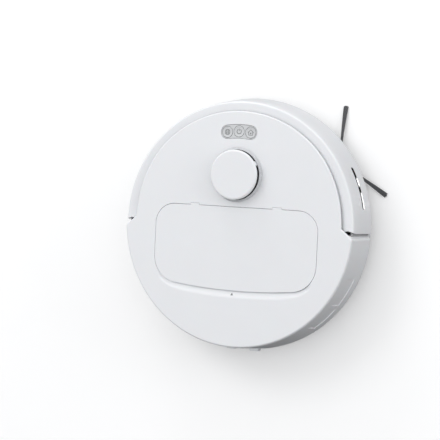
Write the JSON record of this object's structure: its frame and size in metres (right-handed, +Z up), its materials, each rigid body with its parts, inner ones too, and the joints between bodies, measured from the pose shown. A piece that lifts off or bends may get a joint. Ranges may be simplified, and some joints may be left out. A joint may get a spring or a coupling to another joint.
{
  "type": "robot vacuum",
  "caption": "Round robot vacuum cleaner with a laser turret, sprung bumper, hinged bin lid, side brush, roller brush and two sprung drive wheels.",
  "frame": {"origin": "centre line of the round body at the flat underside, the ground clearance above the floor", "axes": "+Z up out of the top face; the robot drives towards -Y, so its bumper is on -Y, its bin lid on +Y and its side brush on -X"},
  "size_m": [0.3592, 0.3463, 0.0958],
  "materials": {
    "shell": "satin white moulded plastic",
    "base": "matt white moulded plastic",
    "strip": "satin light grey plastic",
    "board": "green circuit board",
    "lens": "polished black infrared-clear plastic",
    "dark": "matt dark grey plastic",
    "grey": "matt mid grey plastic",
    "tyre": "soft ribbed rubber",
    "belt": "thin rubber belt",
    "bristle": "dark grey bristle and soft fin",
    "steel": "plain steel",
    "contact": "plated contact metal",
    "cell": "shrink-wrapped battery pack",
    "bin": "smoked plastic",
    "filter": "pleated filter paper"
  },
  "bodies": {
    "chassis": {"base_plate": "base", "top_cover": "shell", "lid_hinge_pin_left": "steel", "lid_hinge_pin_right": "steel", "button_panel": "strip", "button_board": "board", "lidar_base": "shell", "lidar_motor": "steel", "lidar_belt": "belt", "main_board": "board", "battery_pack": "cell", "battery_door": "base", "dustbin": "bin", "dustbin_cover": "grey", "bin_filter": "filter", "fan_housing": "grey", "brush_housing": "grey", "brush_motor": "steel", "brush_guard": "base", "side_brush_motor": "dark", "suspension_spring_left": "steel", "suspension_spring_right": "steel", "caster_socket": "grey", "charging_contact_left": "contact", "charging_contact_right": "contact", "dock_sensor_window": "lens", "cliff_sensor_left": "lens", "cliff_sensor_right": "lens", "cliff_sensor_front_left": "lens", "cliff_sensor_front_right": "lens", "bumper_switch_left": "dark", "bumper_switch_right": "dark"},
    "bumper": {"bumper": "shell", "wall_sensor_window": "lens"},
    "lid": {"bin_lid": "shell"},
    "spot_button": {"button_spot": "strip"},
    "power_button": {"button_power": "strip"},
    "home_button": {"button_home": "strip"},
    "turret_cap": {"lidar_cap": "shell"},
    "lidar_head": {"lidar_rotor": "dark", "lidar_lens": "lens"},
    "lidar_motor_pulley": {"lidar_pulley": "grey"},
    "drive_left": {"drive_arm_left": "dark", "drive_motor_left": "steel"},
    "wheel_left": {"wheel_hub_left": "grey", "tyre_left": "tyre"},
    "drive_right": {"drive_arm_right": "dark", "drive_motor_right": "steel"},
    "wheel_right": {"wheel_hub_right": "grey", "tyre_right": "tyre"},
    "caster": {"caster_fork": "dark", "caster_axle": "steel"},
    "caster_roller": {"caster_wheel": "dark"},
    "main_brush": {"main_brush_roller": "bristle"},
    "side_brush": {"side_brush_hub": "base", "side_brush_arms": "bristle"},
    "fan": {"fan_impeller": "dark"},
    "rocker": {"power_switch": "dark"}
  },
  "joints": [
    {"name": "bumper_press", "type": "slide", "parent": "chassis", "child": "bumper", "axis": [0, 1, 0], "range_m": [0, 0.0035], "stiffness_N_per_m": 300, "springref_m": -0.003},
    {"name": "lid_hinge", "type": "hinge", "parent": "chassis", "child": "lid", "pos_m": [0, -0.0248, 0.07185], "axis": [1, 0, 0], "range_deg": [0, 80]},
    {"name": "spot_press", "type": "slide", "parent": "chassis", "child": "spot_button", "axis": [0, 0, -1], "range_m": [0, 0.0008], "stiffness_N_per_m": 800, "springref_m": -0.001},
    {"name": "power_press", "type": "slide", "parent": "chassis", "child": "power_button", "axis": [0, 0, -1], "range_m": [0, 0.0008], "stiffness_N_per_m": 800, "springref_m": -0.001},
    {"name": "home_press", "type": "slide", "parent": "chassis", "child": "home_button", "axis": [0, 0, -1], "range_m": [0, 0.0008], "stiffness_N_per_m": 800, "springref_m": -0.001},
    {"name": "turret_press", "type": "slide", "parent": "chassis", "child": "turret_cap", "axis": [0, 0, -1], "range_m": [0, 0.0012], "stiffness_N_per_m": 1500, "springref_m": -0.001},
    {"name": "lidar_spin", "type": "hinge", "parent": "chassis", "child": "lidar_head", "pos_m": [0, -0.0668, 0.062], "axis": [0, 0, 1], "continuous": true},
    {"name": "lidar_pulley_spin", "type": "hinge", "parent": "chassis", "child": "lidar_motor_pulley", "pos_m": [0.0346, -0.0468, 0.0522], "axis": [0, 0, 1], "continuous": true},
    {"name": "main_brush_spin", "type": "hinge", "parent": "chassis", "child": "main_brush", "pos_m": [0, -0.043, 0.0118], "axis": [1, 0, 0], "continuous": true},
    {"name": "side_brush_spin", "type": "hinge", "parent": "chassis", "child": "side_brush", "pos_m": [-0.118, -0.089, 0], "axis": [0, 0, 1], "continuous": true, "deforming": ["side_brush_arms"]},
    {"name": "fan_spin", "type": "hinge", "parent": "chassis", "child": "fan", "pos_m": [-0.096, 0.076, 0.025], "axis": [0, 0, 1], "continuous": true},
    {"name": "power_rocker", "type": "hinge", "parent": "chassis", "child": "rocker", "pos_m": [-0.09, 0.024, 0.064], "axis": [1, 0, 0], "range_deg": [0, 14]},
    {"name": "caster_swivel", "type": "hinge", "parent": "chassis", "child": "caster", "pos_m": [0, -0.132, 0.01], "axis": [0, 0, 1], "continuous": true},
    {"name": "caster_roll", "type": "hinge", "parent": "caster", "child": "caster_roller", "pos_m": [0, -0.129, 0.003], "axis": [1, 0, 0], "continuous": true},
    {"name": "suspension_left", "type": "hinge", "parent": "chassis", "child": "drive_left", "pos_m": [0.096, -0.028, 0.028], "axis": [-1, 0, 0], "range_deg": [0, 16], "stiffness_Nm_per_rad": 0.5, "springref_deg": 20.05, "deforming": ["suspension_spring_left"]},
    {"name": "wheel_spin_left", "type": "hinge", "parent": "drive_left", "child": "wheel_left", "pos_m": [0.118, 0.006, 0.0255], "axis": [1, 0, 0], "continuous": true},
    {"name": "suspension_right", "type": "hinge", "parent": "chassis", "child": "drive_right", "pos_m": [-0.096, -0.028, 0.028], "axis": [-1, 0, 0], "range_deg": [0, 16], "stiffness_Nm_per_rad": 0.5, "springref_deg": 20.05, "deforming": ["suspension_spring_right"]},
    {"name": "wheel_spin_right", "type": "hinge", "parent": "drive_right", "child": "wheel_right", "pos_m": [-0.118, 0.006, 0.0255], "axis": [1, 0, 0], "continuous": true}
  ],
  "couplings": [
    {"joint": "lidar_pulley_spin", "follows": "lidar_spin", "ratio": 4.4444}
  ]
}
